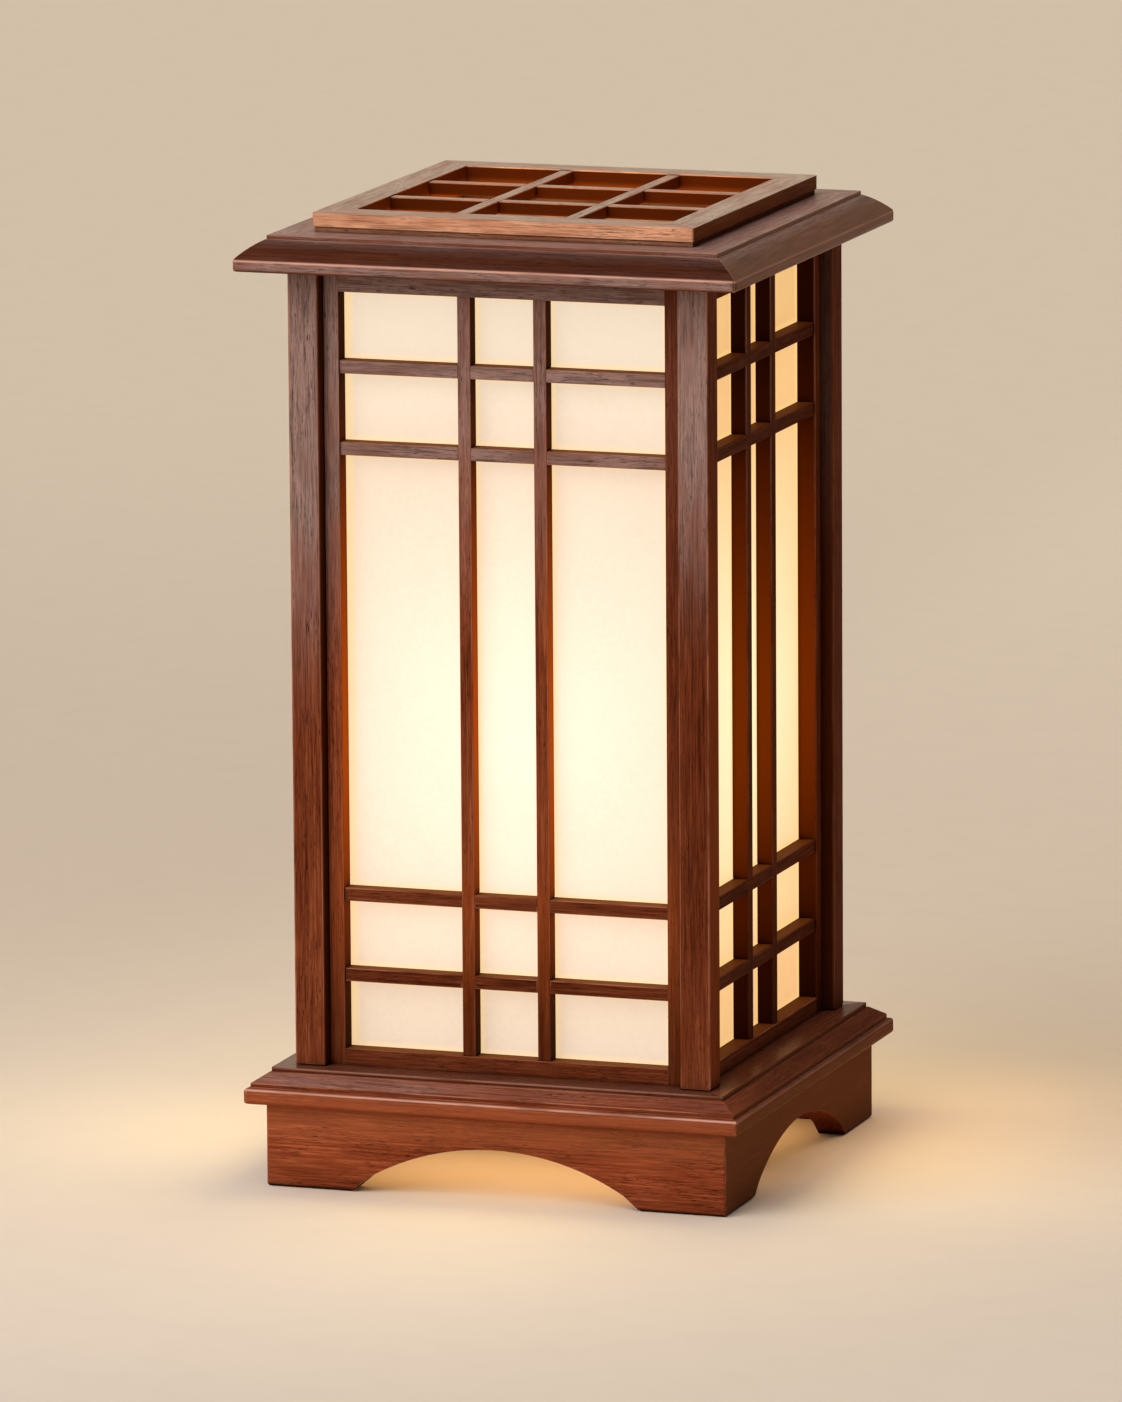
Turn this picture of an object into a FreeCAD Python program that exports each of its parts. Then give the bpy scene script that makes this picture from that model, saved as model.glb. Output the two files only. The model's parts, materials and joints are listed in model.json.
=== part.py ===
import FreeCAD, Part
import math
import os
import re
import Sketcher

# Andon table lamp: a square wooden lantern with papered lattice panels between four posts,
# a moulded base on an arched skirt, a moulded roof, a lift-off vent grille and a screw-in bulb.
# Millimetres, +Z up, front face towards -Y, origin on the floor under the middle of the lamp.

# Driving dimensions
SIZES = {
    # Tower
    "post_span": 204,
    "post_side": 15,
    "body_height": 375.5,
    "tenon_side": 8,
    "tenon_length": 8,
    "tenon_clearance": 0.1,
    # Skirt
    "apron_height": 40,
    "apron_thickness": 14,
    "apron_setback": 8.5,
    "apron_corner_radius": 1.8,
    "foot_width": 42,
    "foot_radius": 2.2,
    "arch_height": 24.3,
    "arch_toe_run": 8.2,
    "arch_toe_rise": 7,
    "block_side": 18,
    "block_chamfer": 8,
    "block_height": 24,
    # Base moulding
    "base_overhang": 19.5,
    "base_margin": 8.5,
    "base_nose_height": 7.8,
    "base_nose_radius": 2.8,
    "base_corner_radius": 3,
    "base_ledge": 0.3,
    "base_riser": 2,
    "base_slope_run": 7,
    "base_slope_rise": 4.5,
    "base_quirk": 0.8,
    "base_step": 2.2,
    # Roof moulding
    "roof_overhang": 20,
    "roof_margin": 7,
    "roof_fillet_height": 5.8,
    "roof_lower_radius": 2.2,
    "roof_arris_run": 0.7,
    "roof_arris_drop": 1.7,
    "roof_arris_radius": 2.4,
    "roof_corner_radius": 3,
    "roof_bevel_run": 12,
    "roof_bevel_rise": 8.2,
    "roof_bevel_radius": 40,
    "roof_quirk": 0.8,
    "roof_step": 2,
    # Shoji panels
    "panel_inset": 0.2,
    "panel_thickness": 9,
    "panel_clearance": 0.2,
    "groove_depth": 2,
    "tongue_thickness": 2,
    "tongue_setback": 0.5,
    "stile_width": 7.2,
    "rail_bottom_height": 7.7,
    "rail_top_height": 11,
    "rail_shoulder": 2,
    "bar_width": 6.2,
    "bar_setback": 1,
    "small_cell_height": 32,
    "middle_cell_width": 30.7,
    "stub_length": 3,
    "stub_thickness": 3,
    "stub_setback": 3,
    "paper_thickness": 0.6,
    "paper_lap": 3,
    # Vent grille
    "grille_seat": 13,
    "grille_lip_thickness": 2.5,
    "grille_lip_depth": 4,
    "grille_clearance": 0.5,
    "grille_plinth_height": 2.5,
    "grille_plinth_inset": 1,
    "grille_corner_radius": 1.5,
    "grille_rail_height": 6.5,
    "grille_bar_width": 6.3,
    "grille_bar_depth": 6,
    "grille_bar_drop": 0.6,
    "grille_bar_tenon": 3,
    # Lamp carrier
    "lamp_bar_width": 34,
    "lamp_bar_thickness": 10,
    "lamp_bar_gap": 1,
    "screw_inset": 11,
    "screw_spacing": 18,
    "screw_radius": 2,
    "screw_bite": 9,
    "screw_head_radius": 3.8,
    "screw_head_height": 2.4,
    "screw_slot_width": 1,
    "screw_slot_depth": 1.2,
    "hole_clearance": 0.1,
    "pipe_radius": 5,
    "pipe_wall": 1.5,
    "pipe_length": 88,
    "pipe_projection": 4,
    "nut_wall": 2,
    "nut_thickness": 4,
    # Lamp holder
    "holder_wall": 6,
    "holder_round": 5,
    "holder_socket_depth": 10,
    "holder_floor": 8,
    "holder_cup_depth": 32,
    "wire_hole_radius": 3,
    "shell_wall": 0.5,
    "shell_height": 27,
    "shell_clearance": 0.2,
    "contact_radius": 6,
    "contact_thickness": 1.2,
    "contact_gap": 0.3,
    # Bulb
    "thread_clearance": 0.3,
    "cap_radius": 13,
    "cap_length": 26,
    "cap_cone_height": 4,
    "cap_tip_radius": 5,
    "cap_wall": 0.5,
    "neck_overlap": 9,
    "neck_clearance": 0.1,
    "neck_rise": 4,
    "shoulder_radius": 40,
    "bulb_radius": 30,
    "glass_wall": 1,
    # Waste that a mitre cut takes beyond the member
    "mitre_waste": 1,
}

# Places worked out from the driving dimensions: heights, and distances from the lamp's axis
PLACES = {
    # Tower
    "post_half": "post_span / 2",
    "post_inner": "post_half - post_side",
    "post_centre": "post_half - post_side / 2",
    "mortise_half": "tenon_side / 2 + tenon_clearance",
    "mortise_depth": "tenon_length + tenon_clearance",
    # Base
    "base_half": "post_half + base_overhang",
    "apron_half": "base_half - apron_setback",
    "apron_inner": "apron_half - apron_thickness",
    "arch_half": "apron_half - foot_width",
    "arch_spring": "arch_half - arch_toe_run",
    "arch_rise": "arch_height - arch_toe_rise",
    "arch_radius": "(arch_spring * arch_spring + arch_rise * arch_rise) / (2 * arch_rise)",
    "base_ledge_top": "apron_height + base_nose_height",
    "base_riser_top": "base_ledge_top + base_riser",
    "base_slope_top": "base_riser_top + base_slope_rise",
    "base_top": "base_slope_top + base_step",
    "base_slope_foot": "base_half - base_nose_radius - base_ledge",
    "base_slope_head": "base_slope_foot - base_slope_run",
    # Roof
    "roof_half": "post_half + roof_overhang",
    "roof_foot": "base_top + body_height",
    "roof_fillet_top": "roof_foot + roof_fillet_height",
    "roof_bevel_top": "roof_fillet_top + roof_bevel_rise",
    "roof_top": "roof_bevel_top + roof_step",
    "roof_bevel_head": "roof_half - roof_bevel_run",
    # Shoji panels, measured outwards from the axis
    "panel_back": "post_inner - panel_inset",
    "panel_front": "panel_back + panel_thickness",
    "base_inner": "panel_back - base_margin",
    "roof_inner": "panel_back - roof_margin",
    "stile_edge": "panel_back - panel_clearance",
    "stile_inner": "stile_edge - stile_width",
    "tongue_tip": "post_inner - panel_clearance",
    "tongue_back": "post_inner + tongue_setback",
    "tongue_front": "tongue_back + tongue_thickness",
    "stub_front": "panel_front - stub_setback",
    "stub_back": "stub_front - stub_thickness",
    "stub_reach": "stile_inner + stub_length",
    "bar_front": "panel_front - bar_setback",
    "bar_depth": "panel_thickness - bar_setback",
    "lap_depth": "bar_depth / 2",
    "upright_inner": "middle_cell_width / 2",
    "upright_outer": "upright_inner + bar_width",
    # Shoji panels, heights
    "panel_foot": "base_top - groove_depth",
    "panel_head": "roof_foot + groove_depth - panel_clearance",
    "sill_top": "base_top + rail_bottom_height",
    "lintel_foot": "roof_foot - rail_top_height",
    "cross_first": "sill_top + small_cell_height",
    "cross_second": "cross_first + bar_width + small_cell_height",
    "cross_fourth": "lintel_foot - small_cell_height - bar_width",
    "cross_third": "cross_fourth - small_cell_height - bar_width",
    # Vent grille
    "grille_half": "roof_inner + grille_seat",
    "grille_lip": "roof_inner - grille_clearance",
    "grille_inner": "grille_lip - grille_lip_thickness",
    "grille_foot": "roof_top + grille_plinth_height",
    "grille_top": "grille_foot + grille_rail_height",
    "grille_bar_top": "grille_top - grille_bar_drop",
    "grille_bar_foot": "grille_bar_top - grille_bar_depth",
    "grille_bar_reach": "grille_inner + grille_bar_tenon",
    "grille_bar_lap": "grille_bar_depth / 2",
    "grille_bar_inner": "(grille_inner - grille_bar_width) / 3",
    "grille_bar_outer": "grille_bar_inner + grille_bar_width",
    # Lamp carrier
    "lamp_bar_half": "apron_inner - lamp_bar_gap",
    "lamp_bar_foot": "apron_height - lamp_bar_thickness",
    "screw_out": "base_inner + screw_inset",
    "screw_side": "screw_spacing / 2",
    "screw_hole_radius": "screw_radius + hole_clearance",
    "pipe_foot": "lamp_bar_foot - nut_thickness - pipe_projection",
    "pipe_head": "pipe_foot + pipe_length",
    "pipe_bore": "pipe_radius - pipe_wall",
    "pipe_hole_radius": "pipe_radius + hole_clearance",
    "nut_flat": "pipe_hole_radius + nut_wall",
    "nut_corner": "nut_flat / cos(30 deg)",
    # Lamp holder and bulb
    "shell_inner": "cap_radius + thread_clearance",
    "shell_outer": "shell_inner + shell_wall",
    "cup_radius": "shell_outer + shell_clearance",
    "holder_radius": "cup_radius + holder_wall",
    "holder_foot": "pipe_head - holder_socket_depth",
    "cup_floor": "pipe_head + holder_floor",
    "holder_top": "cup_floor + holder_cup_depth",
    "contact_top": "cup_floor + contact_thickness",
    "cap_foot": "contact_top + contact_gap",
    "cap_top": "cap_foot + cap_length",
    "cap_socket": "cap_radius - cap_wall",
    "cap_socket_foot": "cap_top - neck_overlap",
    "neck_radius": "cap_socket - neck_clearance",
    "neck_foot": "cap_socket_foot + neck_clearance",
    "neck_top": "cap_top + neck_rise",
    "glass_reach": "bulb_radius + shoulder_radius",
    "shoulder_out": "neck_radius + shoulder_radius",
    "bulb_rise": "sqrt(glass_reach * glass_reach - shoulder_out * shoulder_out)",
    "bulb_centre": "neck_top + bulb_rise",
    "inner_radius": "bulb_radius - glass_wall",
    "inner_shoulder": "shoulder_radius + glass_wall",
}

SIDES = ["front", "right", "back", "left"]
CORNERS = ["front_left", "front_right", "back_right", "back_left"]
SCREWED_SIDES = ["right", "left"]
HANDS = [("left", "-"), ("right", "")]
CROSS_BARS = ["cross_first", "cross_second", "cross_third", "cross_fourth"]
NUT_SIDES = 6

doc = FreeCAD.newDocument("andon_lamp")


# Sheets and expressions

def bound(text, inside=None):
    """Expression text in which each named value is led by the sheet that holds it."""
    def lead(found):
        name = found.group(0)
        home = "Sizes" if name in SIZES else "Places" if name in PLACES else None
        return name if home in (None, inside) else f"{home}.{name}"
    return re.sub(r"[a-z_]+", lead, text)


def fill_sheet(name, cells):
    """A sheet with one aliased cell for each name."""
    sheet = doc.addObject("Spreadsheet::Sheet", name)
    for row, (alias, content) in enumerate(cells.items(), start=1):
        sheet.set(f"A{row}", alias)
        sheet.set(f"B{row}", content)
        sheet.setAlias(f"B{row}", alias)
    return sheet


sizes = fill_sheet("Sizes", {name: str(value) for name, value in SIZES.items()})
places = fill_sheet("Places", {name: "=" + bound(text, "Places") for name, text in PLACES.items()})
doc.recompute()


def number(text):
    """Value of an expression in the present sizes."""
    return float(sizes.evalExpression(bound(text)))


# Bodies, sketches and features

def new_body(label, turns=0):
    """A body that is drawn on the front side and turned by quarter turns to its own side."""
    body = doc.addObject("PartDesign::Body", label)
    body.Label = label
    body.Placement.Rotation = FreeCAD.Rotation(FreeCAD.Vector(0, 0, 1), 90 * turns)
    return body


def sketch_on(body, plane, offset=None):
    """A sketch on one of the body's origin planes, moved along the plane's normal."""
    sketch = body.newObject("Sketcher::SketchObject", f"{body.Label}_sketch")
    support = next(item for item in body.Origin.OriginFeatures if item.Role == plane)
    sketch.AttachmentSupport = [(support, "")]
    sketch.MapMode = "FlatFace"
    if offset:
        sketch.setExpression("AttachmentOffset.Base.z", bound(offset))
    return sketch


def on_plan(body, height=None):
    """A sketch seen from above, at a height."""
    return sketch_on(body, "XY_Plane", height)


def on_front(body, outward=None):
    """A sketch seen from the front, at a distance outwards from the axis."""
    return sketch_on(body, "XZ_Plane", outward)


def on_section(body, along=None):
    """A sketch seen from the right: Y across, Z up."""
    return sketch_on(body, "YZ_Plane", along)


def bind(sketch, constraint, text):
    """Adds a dimension and ties it to an expression."""
    index = sketch.addConstraint(constraint)
    sketch.setExpression(f"Constraints[{index}]", bound(text))


def pin(sketch, item, end, spot):
    """Fixes a point of the sketch at a pair of expressions."""
    axes = [("DistanceX", -2), ("DistanceY", -1)]
    for (kind, axis), text in zip(axes, spot):
        if text == "0":
            sketch.addConstraint(Sketcher.Constraint("PointOnObject", item, end, axis))
        else:
            bind(sketch, Sketcher.Constraint(kind, -1, 1, item, end, number(text)), text)


def arc_between(here, there, radius):
    """Arc of under half a circle, to the left about its centre if the radius is positive."""
    chord = there - here
    side = FreeCAD.Vector(-chord.y, chord.x, 0).normalize()
    drop = math.sqrt(max(radius ** 2 - chord.Length ** 2 / 4, 0))
    centre = (here + there) / 2 + side * math.copysign(drop, radius)
    first, last = (here, there) if radius > 0 else (there, here)
    start = math.atan2(first.y - centre.y, first.x - centre.x)
    stop = math.atan2(last.y - centre.y, last.x - centre.x)
    circle = Part.Circle(centre, FreeCAD.Vector(0, 0, 1), abs(radius))
    return Part.ArcOfCircle(circle, start, stop if stop > start else stop + 2 * math.pi)


def loop(sketch, points):
    """Closed outline through pairs of expressions. A third item makes the run that leaves the
    point an arc of that radius, negative where the run turns clockwise."""
    spots = [FreeCAD.Vector(number(point[0]), number(point[1]), 0) for point in points]
    runs = []
    for here, there, point in zip(spots, spots[1:] + spots[:1], points):
        radius = number(point[2]) if len(point) > 2 else 0
        shape = arc_between(here, there, radius) if radius else Part.LineSegment(here, there)
        ends = (2, 1) if radius < 0 else (1, 2)
        runs.append((sketch.addGeometry(shape), *ends))
    for run, follower, point in zip(runs, runs[1:] + runs[:1], points):
        item, start, stop = run
        sketch.addConstraint(Sketcher.Constraint("Coincident", item, stop, follower[0], follower[1]))
        pin(sketch, item, start, point[:2])
        if len(point) > 2:
            radius = Sketcher.Constraint("Radius", item, abs(number(point[2])))
            bind(sketch, radius, f"abs({point[2]})")


def rectangle(sketch, across, up):
    """Rectangle between two expressions each way."""
    corners = [(across[0], up[0]), (across[1], up[0]), (across[1], up[1]), (across[0], up[1])]
    loop(sketch, corners)


def circle(sketch, radius, centre=("0", "0")):
    """Circle about a pair of expressions."""
    spot = FreeCAD.Vector(number(centre[0]), number(centre[1]), 0)
    item = sketch.addGeometry(Part.Circle(spot, FreeCAD.Vector(0, 0, 1), number(radius)))
    pin(sketch, item, 3, centre)
    bind(sketch, Sketcher.Constraint("Radius", item, number(radius)), radius)


def mirrored(text):
    """An expression and its mirror image across the axis."""
    return [text, f"-({text})"]


def span(half):
    """The two ends of a run that is centred on the axis."""
    return (f"-({half})", half)


def pad(body, sketch, length, reverse=False, both=False):
    """Adds a sketch's outline, along its normal unless reversed, or to both sides."""
    feature = body.newObject("PartDesign::Pad", f"{body.Label}_pad")
    feature.Profile = sketch
    feature.setExpression("Length", bound(length))
    feature.Reversed = reverse
    feature.SideType = "Symmetric" if both else "One side"
    return feature


def pocket(body, sketch, depth=None, reverse=False):
    """Cuts a sketch's outline, against its normal unless reversed, or right through both ways."""
    feature = body.newObject("PartDesign::Pocket", f"{body.Label}_pocket")
    feature.Profile = sketch
    feature.Reversed = reverse
    if depth:
        feature.setExpression("Length", bound(depth))
    else:
        feature.Type = "ThroughAll"
        feature.SideType = "Symmetric"
    return feature


def revolve(body, sketch):
    """Turns a sketch's outline about the vertical axis."""
    feature = body.newObject("PartDesign::Revolution", f"{body.Label}_revolution")
    feature.Profile = sketch
    feature.ReferenceAxis = (sketch, ["V_Axis"])
    feature.Angle = 360
    return feature


def ring_of(body, feature, count):
    """Repeats a feature evenly about the vertical axis."""
    pattern = body.newObject("PartDesign::PolarPattern", f"{body.Label}_pattern")
    pattern.Originals = [feature]
    upright = next(item for item in body.Origin.OriginFeatures if item.Role == "Z_Axis")
    pattern.Axis = (upright, [""])
    pattern.Angle = 360
    pattern.Occurrences = count
    body.Tip = pattern


def cut_mitres(body, outer, inner):
    """Cuts both ends of a frame member at 45 degrees, so that four of them close the square."""
    sketch = on_plan(body)
    near = f"{inner} - mitre_waste"
    far = f"{outer} + mitre_waste"
    for inner_x, outer_x in zip(mirrored(near), mirrored(far)):
        loop(sketch, [(inner_x, f"-({near})"), (outer_x, f"-({far})"), (outer_x, f"-({near})")])
    pocket(body, sketch)


def round_corners(body, outer, radius):
    """Rounds off the upright arrises at the outer ends of a mitred member."""
    sketch = on_plan(body)
    start = f"{outer} - {radius}"
    far = f"{outer} + mitre_waste"
    for sign, turn in [("", "-"), ("-", "")]:
        loop(sketch, [
            (f"{sign}({start})", f"-({far})"),
            (f"{sign}({far})", f"-({far})"),
            (f"{sign}({far})", f"-({start})"),
            (f"{sign}({outer})", f"-({start})", f"{turn}{radius}"),
            (f"{sign}({start})", f"-({outer})"),
        ])
    pocket(body, sketch)


def cut_seats(body, height, upward):
    """Mortises for the two posts at a member's ends, and the groove that holds the panel."""
    mortises = on_plan(body, height)
    deep = ("-(post_centre + mortise_half)", "-(post_centre - mortise_half)")
    for low, high in [deep, ("post_centre - mortise_half", "post_centre + mortise_half")]:
        rectangle(mortises, (low, high), deep)
    pocket(body, mortises, "mortise_depth", reverse=upward)
    groove = on_plan(body, height)
    across = ("-(panel_front + panel_clearance)", "-(panel_back - panel_clearance)")
    rectangle(groove, span("post_inner"), across)
    pocket(body, groove, "groove_depth", reverse=upward)


# Skirt and base

def make_apron(side, turns):
    """Skirt board, mitred at both ends, its lower edge arched and its feet rounded outside."""
    body = new_body(f"apron_{side}", turns)
    plan = on_plan(body)
    loop(plan, [
        ("-apron_half", "-apron_half"),
        ("apron_half", "-apron_half"),
        ("apron_inner", "-apron_inner"),
        ("-apron_inner", "-apron_inner"),
    ])
    pad(body, plan, "apron_height")
    arch = on_front(body, "apron_half")
    loop(arch, [
        ("-arch_half", "0"),
        ("arch_half", "0"),
        ("arch_spring", "arch_toe_rise", "arch_radius"),
        ("-arch_spring", "arch_toe_rise"),
    ])
    pocket(body, arch, "apron_thickness")
    toe = on_section(body)
    start = "-(apron_half - foot_radius)"
    far = "-(apron_half + mitre_waste)"
    loop(toe, [
        (start, "0", "-foot_radius"),
        ("-apron_half", "foot_radius"),
        (far, "foot_radius"),
        (far, "-mitre_waste"),
        (start, "-mitre_waste"),
    ])
    pocket(body, toe)
    round_corners(body, "apron_half", "apron_corner_radius")


def make_corner_blocks():
    """Glue blocks that tie the skirt's corners to the underside of the base."""
    body = new_body("corner_blocks")
    plan = on_plan(body, "apron_height - block_height")
    edge = "apron_inner - block_side"
    cut = "apron_inner - block_side + block_chamfer"
    loop(plan, [
        ("-apron_inner", "-apron_inner"),
        (f"-({edge})", "-apron_inner"),
        (f"-({edge})", f"-({cut})"),
        (f"-({cut})", f"-({edge})"),
        ("-apron_inner", f"-({edge})"),
    ])
    block = pad(body, plan, "block_height")
    ring_of(body, block, len(CORNERS))


def make_base_frame(side, turns):
    """Base member: round nose, riser, slope and a stepped flat that the tower stands on."""
    body = new_body(f"base_frame_{side}", turns)
    section = on_section(body)
    loop(section, [
        ("-base_inner", "apron_height"),
        ("-base_inner", "base_top"),
        ("-(base_slope_head - base_quirk)", "base_top"),
        ("-(base_slope_head - base_quirk)", "base_slope_top"),
        ("-base_slope_head", "base_slope_top"),
        ("-base_slope_foot", "base_riser_top"),
        ("-base_slope_foot", "base_ledge_top"),
        ("-(base_half - base_nose_radius)", "base_ledge_top", "base_nose_radius"),
        ("-base_half", "base_ledge_top - base_nose_radius"),
        ("-base_half", "apron_height + base_nose_radius", "base_nose_radius"),
        ("-(base_half - base_nose_radius)", "apron_height"),
    ])
    pad(body, section, "2 * base_half", both=True)
    cut_mitres(body, "base_half", "base_inner")
    round_corners(body, "base_half", "base_corner_radius")
    cut_seats(body, "base_top", upward=False)
    if side in SCREWED_SIDES:
        pilots = on_plan(body, "apron_height")
        for along in mirrored("screw_side"):
            circle(pilots, "screw_hole_radius", (along, "-screw_out"))
        pocket(body, pilots, "screw_bite + hole_clearance", reverse=True)


# Tower

def make_post(corner, turns):
    """Square post with a tenon at each end."""
    body = new_body(f"post_{corner}", turns)
    shaft = on_plan(body, "base_top")
    rectangle(shaft, ("-post_half", "-post_inner"), ("-post_half", "-post_inner"))
    pad(body, shaft, "body_height")
    tenons = on_plan(body, "base_top - tenon_length")
    across = ("-(post_centre + tenon_side / 2)", "-(post_centre - tenon_side / 2)")
    rectangle(tenons, across, across)
    pad(body, tenons, "body_height + 2 * tenon_length")


def make_stile(side, turns, hand, sign):
    """Upright of a panel's frame. A tongue stands against the post behind a shadow line."""
    body = new_body(f"stile_{hand}_{side}", turns)
    plan = on_plan(body, "panel_foot")
    outline = [
        ("stile_inner", "panel_front"),
        ("stile_edge", "panel_front"),
        ("stile_edge", "tongue_front"),
        ("tongue_tip", "tongue_front"),
        ("tongue_tip", "tongue_back"),
        ("stile_edge", "tongue_back"),
        ("stile_edge", "panel_back"),
        ("stile_inner", "panel_back"),
    ]
    loop(plan, [(f"{sign}{across}", f"-{outward}") for across, outward in outline])
    pad(body, plan, "panel_head - panel_foot")
    mortises = on_section(body, f"{sign}stile_inner")
    heights = [(low, f"{low} + bar_width") for low in CROSS_BARS]
    heights.append(("panel_foot + rail_shoulder", "sill_top - rail_shoulder"))
    heights.append(("lintel_foot + rail_shoulder", "panel_head - rail_shoulder"))
    for height in heights:
        rectangle(mortises, ("-stub_front", "-stub_back"), height)
    pocket(body, mortises, "stub_length", reverse=(hand == "right"))


def make_rail(side, turns, level, low, high):
    """Cross member of a panel's frame, with a stub tenon at each end."""
    body = new_body(f"rail_{level}_{side}", turns)
    face = on_front(body, "panel_front")
    rectangle(face, span("stile_inner"), (low, high))
    pad(body, face, "panel_thickness", reverse=True)
    stubs = on_front(body, "stub_front")
    rectangle(stubs, span("stub_reach"), (f"{low} + rail_shoulder", f"{high} - rail_shoulder"))
    pad(body, stubs, "stub_thickness", reverse=True)
    mortises = on_plan(body, high if level == "bottom" else low)
    for across in zip(mirrored("upright_inner"), mirrored("upright_outer")):
        rectangle(mortises, across, ("-stub_front", "-stub_back"))
    pocket(body, mortises, "stub_length", reverse=(level == "top"))


def cut_laps(body, outward, from_back):
    """Half-lap notches where the upright and cross bars of a panel meet."""
    notches = on_front(body, outward)
    for across in zip(mirrored("upright_inner"), mirrored("upright_outer")):
        for low in CROSS_BARS:
            rectangle(notches, across, (low, f"{low} + bar_width"))
    pocket(body, notches, "lap_depth", reverse=from_back)


def make_kumiko_upright(side, turns):
    """The two upright lattice bars of a panel, notched at the back for the cross bars."""
    body = new_body(f"kumiko_upright_{side}", turns)
    face = on_front(body, "bar_front")
    stubs = on_front(body, "stub_front")
    for across in zip(mirrored("upright_inner"), mirrored("upright_outer")):
        rectangle(face, across, ("sill_top", "lintel_foot"))
        rectangle(stubs, across, ("sill_top - stub_length", "lintel_foot + stub_length"))
    pad(body, face, "bar_depth", reverse=True)
    pad(body, stubs, "stub_thickness", reverse=True)
    cut_laps(body, "panel_back", from_back=True)


def make_kumiko_cross(side, turns):
    """The four cross lattice bars of a panel, notched at the front for the uprights."""
    body = new_body(f"kumiko_cross_{side}", turns)
    face = on_front(body, "bar_front")
    stubs = on_front(body, "stub_front")
    for low in CROSS_BARS:
        height = (low, f"{low} + bar_width")
        rectangle(face, span("stile_inner"), height)
        rectangle(stubs, span("stub_reach"), height)
    pad(body, face, "bar_depth", reverse=True)
    pad(body, stubs, "stub_thickness", reverse=True)
    cut_laps(body, "bar_front", from_back=False)


def make_paper(side, turns):
    """Sheet of paper glued to the back of a panel's frame and lattice."""
    body = new_body(f"paper_{side}", turns)
    face = on_front(body, "panel_back")
    height = ("sill_top - paper_lap", "lintel_foot + paper_lap")
    rectangle(face, span("stile_inner + paper_lap"), height)
    pad(body, face, "paper_thickness", reverse=True)


# Roof and vent grille

def make_roof_frame(side, turns):
    """Roof member: fillet, convex bevel and a stepped flat that the grille stands on."""
    body = new_body(f"roof_frame_{side}", turns)
    section = on_section(body)
    loop(section, [
        ("-roof_inner", "roof_foot"),
        ("-roof_inner", "roof_top"),
        ("-(roof_bevel_head - roof_quirk)", "roof_top"),
        ("-(roof_bevel_head - roof_quirk)", "roof_bevel_top"),
        ("-roof_bevel_head", "roof_bevel_top", "roof_bevel_radius"),
        ("-(roof_half - roof_arris_run)", "roof_fillet_top", "roof_arris_radius"),
        ("-roof_half", "roof_fillet_top - roof_arris_drop"),
        ("-roof_half", "roof_foot + roof_lower_radius", "roof_lower_radius"),
        ("-(roof_half - roof_lower_radius)", "roof_foot"),
    ])
    pad(body, section, "2 * roof_half", both=True)
    cut_mitres(body, "roof_half", "roof_inner")
    round_corners(body, "roof_half", "roof_corner_radius")
    cut_seats(body, "roof_foot", upward=True)


def make_grille_frame(side, turns):
    """Grille member on an inset plinth, with a lip that drops into the roof's opening."""
    body = new_body(f"grille_frame_{side}", turns)
    section = on_section(body)
    loop(section, [
        ("-(grille_half - grille_plinth_inset)", "roof_top"),
        ("-grille_lip", "roof_top"),
        ("-grille_lip", "roof_top - grille_lip_depth"),
        ("-grille_inner", "roof_top - grille_lip_depth"),
        ("-grille_inner", "grille_top"),
        ("-grille_half", "grille_top"),
        ("-grille_half", "grille_foot"),
        ("-(grille_half - grille_plinth_inset)", "grille_foot"),
    ])
    pad(body, section, "2 * grille_half", both=True)
    cut_mitres(body, "grille_half", "grille_inner")
    round_corners(body, "grille_half", "grille_corner_radius")
    mortises = on_front(body, "grille_inner")
    for across in zip(mirrored("grille_bar_inner"), mirrored("grille_bar_outer")):
        rectangle(mortises, across, ("grille_bar_foot", "grille_bar_top"))
    pocket(body, mortises, "grille_bar_tenon", reverse=True)


def make_grille_bars(label, turns, lap_height, upward):
    """Two bars of the grille, half-lapped with the two that cross them."""
    body = new_body(label, turns)
    plan = on_plan(body, "grille_bar_foot")
    laps = on_plan(body, lap_height)
    pairs = list(zip(mirrored("grille_bar_inner"), mirrored("grille_bar_outer")))
    for across in pairs:
        rectangle(plan, across, span("grille_bar_reach"))
        for along in pairs:
            rectangle(laps, across, along)
    pad(body, plan, "grille_bar_depth")
    pocket(body, laps, "grille_bar_lap", reverse=upward)


# Lamp carrier

def screw_spots():
    """Places of the four screws in plan."""
    return [(out, along) for out in mirrored("screw_out") for along in mirrored("screw_side")]


def make_lamp_bar():
    """Crosspiece screwed up under the base, with a hole for the lamp pipe."""
    body = new_body("lamp_bar")
    plan = on_plan(body, "lamp_bar_foot")
    rectangle(plan, span("lamp_bar_half"), span("lamp_bar_width / 2"))
    circle(plan, "pipe_hole_radius")
    for spot in screw_spots():
        circle(plan, "screw_hole_radius", spot)
    pad(body, plan, "lamp_bar_thickness")


def make_lamp_bar_screws():
    """Four slotted screws, head down, that hold the crosspiece."""
    body = new_body("lamp_bar_screws")
    heads = on_plan(body, "lamp_bar_foot")
    shanks = on_plan(body, "lamp_bar_foot")
    slots = on_plan(body, "lamp_bar_foot - screw_head_height")
    for out, along in screw_spots():
        circle(heads, "screw_head_radius", (out, along))
        circle(shanks, "screw_radius", (out, along))
        reach = (f"{out} - screw_head_radius", f"{out} + screw_head_radius")
        width = (f"{along} - screw_slot_width / 2", f"{along} + screw_slot_width / 2")
        rectangle(slots, reach, width)
    pad(body, heads, "screw_head_height", reverse=True)
    pad(body, shanks, "lamp_bar_thickness + screw_bite")
    pocket(body, slots, "screw_slot_depth", reverse=True)


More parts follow.
